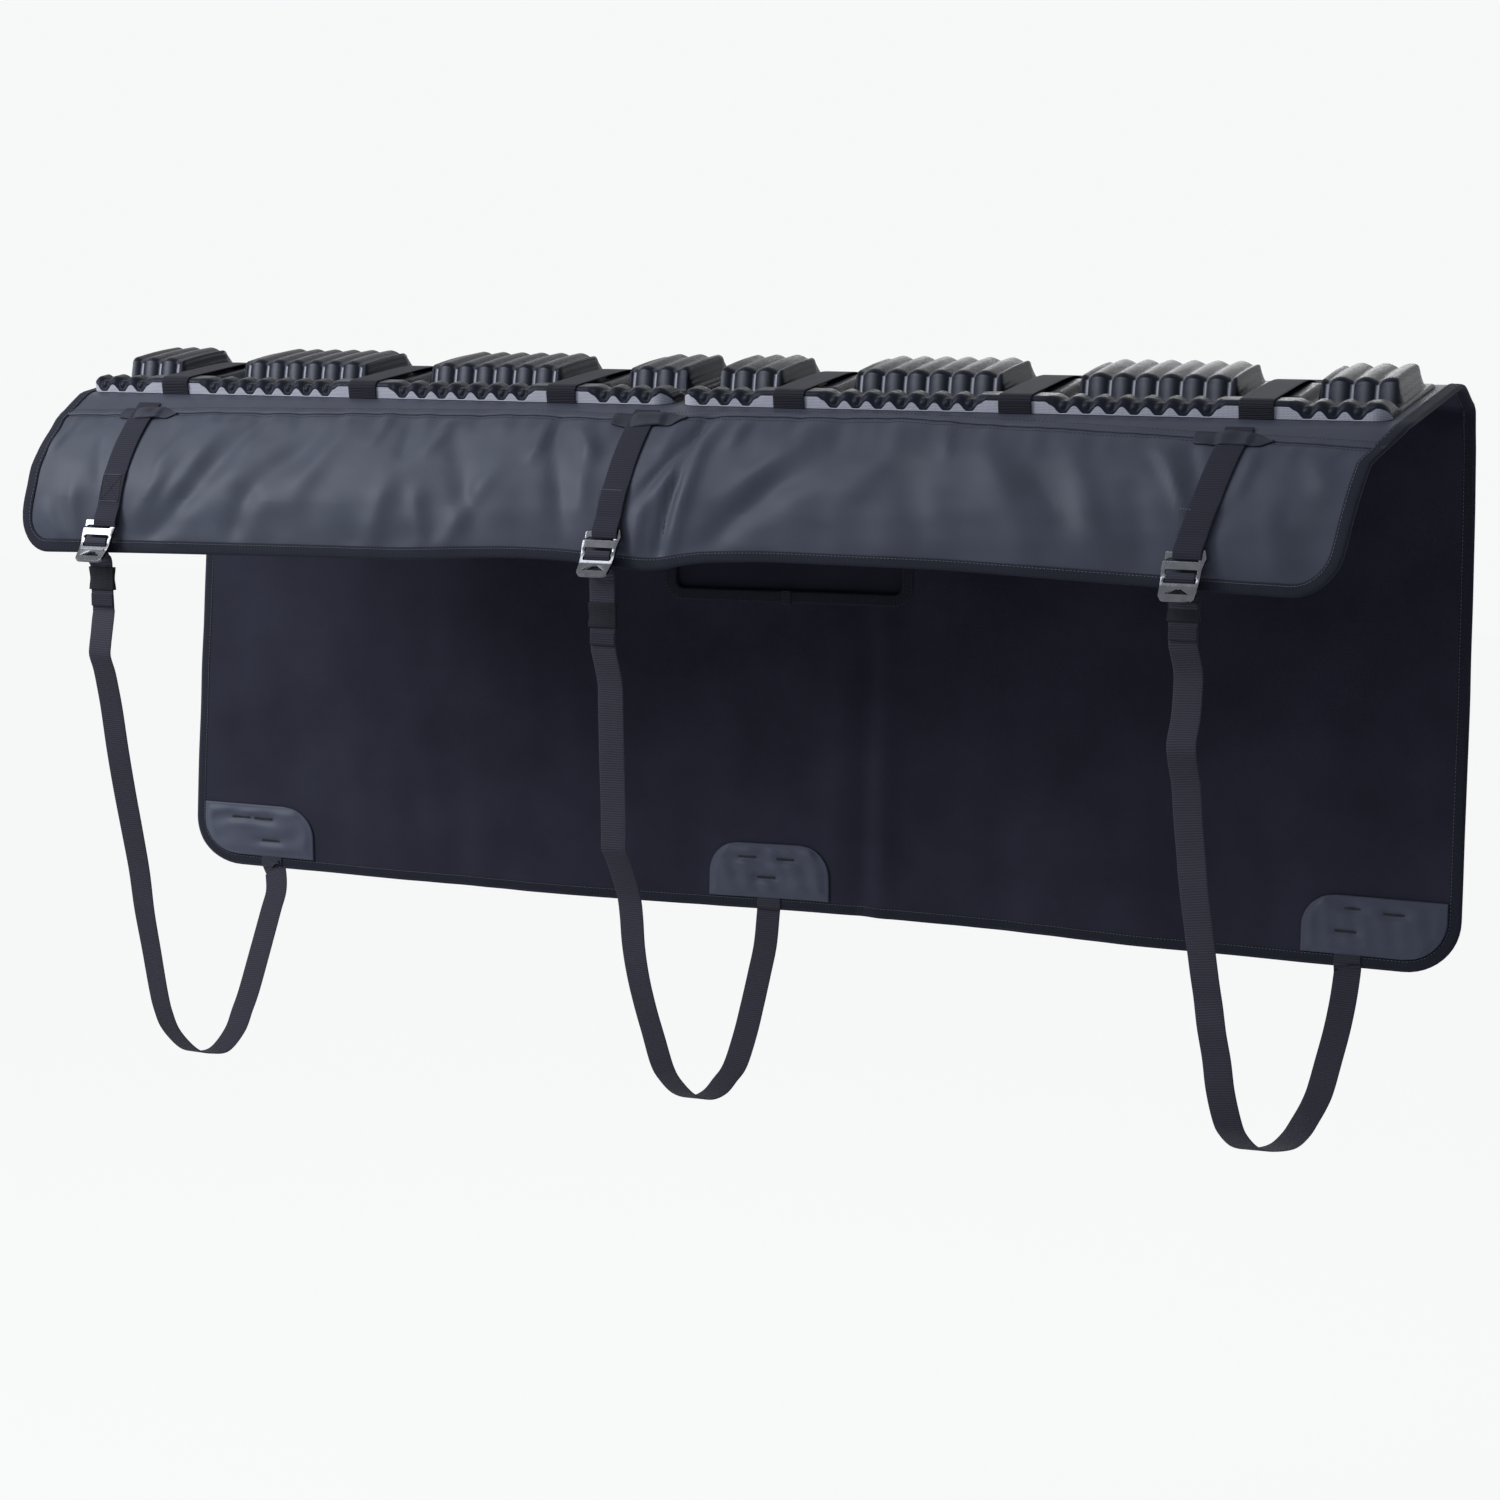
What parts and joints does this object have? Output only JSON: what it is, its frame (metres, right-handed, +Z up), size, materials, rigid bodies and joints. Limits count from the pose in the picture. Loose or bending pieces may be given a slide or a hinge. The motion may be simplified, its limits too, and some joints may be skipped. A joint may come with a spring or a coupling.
{
  "type": "tailgate pad",
  "caption": "Padded cloth cover that hangs over a tailgate, with ribbed foam rails, bicycle straps and tension straps with hook buckles.",
  "frame": {"origin": "on the underside of the lining, in the middle of the part that rests on the tailgate's top edge, under the middle of the foam rails", "axes": "+X along the tailgate, to the right when seen from the front flap's side, +Y towards the long rear panel, +Z up"},
  "size_m": [1.6022, 0.399, 0.8542],
  "materials": {
    "tarpaulin": "matt coated cloth",
    "fleece": "soft pile",
    "binding_tape": "woven tape",
    "laminated_foam": "moulded foam under a satin knit",
    "webbing": "woven",
    "elastic": "woven elastic",
    "aluminium": "blasted, satin"
  },
  "bodies": {
    "root": {"lining": "fleece", "front_flap": "tarpaulin", "main_cover": "tarpaulin", "edge_binding": "binding_tape", "window_binding": "binding_tape", "window_flap": "tarpaulin", "window_pull_tab": "webbing", "foam_rail_left": "laminated_foam", "foam_rail_right": "laminated_foam", "bike_strap_1": "webbing", "bike_strap_2": "webbing", "bike_strap_3": "webbing", "bike_strap_4": "webbing", "bike_strap_5": "webbing", "bike_strap_6": "webbing", "upper_strap_left": "webbing", "strap_keeper_left": "tarpaulin", "hook_buckle_left": "aluminium", "lower_strap_left": "webbing", "tail_keeper_left": "elastic", "anchor_patch_left": "tarpaulin", "upper_strap_middle": "webbing", "strap_keeper_middle": "tarpaulin", "hook_buckle_middle": "aluminium", "lower_strap_middle": "webbing", "tail_keeper_middle": "elastic", "anchor_patch_middle": "tarpaulin", "upper_strap_right": "webbing", "strap_keeper_right": "tarpaulin", "hook_buckle_right": "aluminium", "lower_strap_right": "webbing", "tail_keeper_right": "elastic", "anchor_patch_right": "tarpaulin"}
  },
  "joints": []
}
